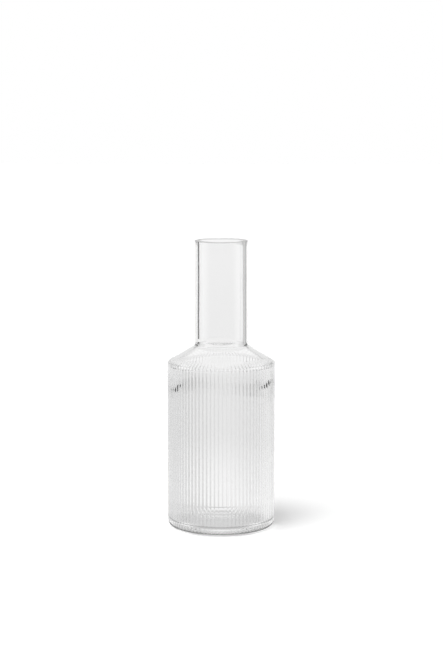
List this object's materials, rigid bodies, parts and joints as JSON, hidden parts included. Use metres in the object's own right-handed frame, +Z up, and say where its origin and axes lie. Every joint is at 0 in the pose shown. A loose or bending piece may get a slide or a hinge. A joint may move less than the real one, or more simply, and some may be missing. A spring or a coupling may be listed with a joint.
{
  "type": "carafe",
  "caption": "Tall clear glass carafe with a reeded cylindrical body, a plain sloping shoulder and a straight open neck, for serving water or wine.",
  "frame": {"origin": "middle of the plane that the carafe stands on", "axes": "+Z up along the carafe's axis, from the foot to the rim; X and Y lie across it and are alike"},
  "size_m": [0.09, 0.09, 0.242],
  "materials": {
    "clear_glass": "clear, blown and fire-polished"
  },
  "bodies": {
    "root": {"carafe": "clear_glass"}
  },
  "joints": []
}
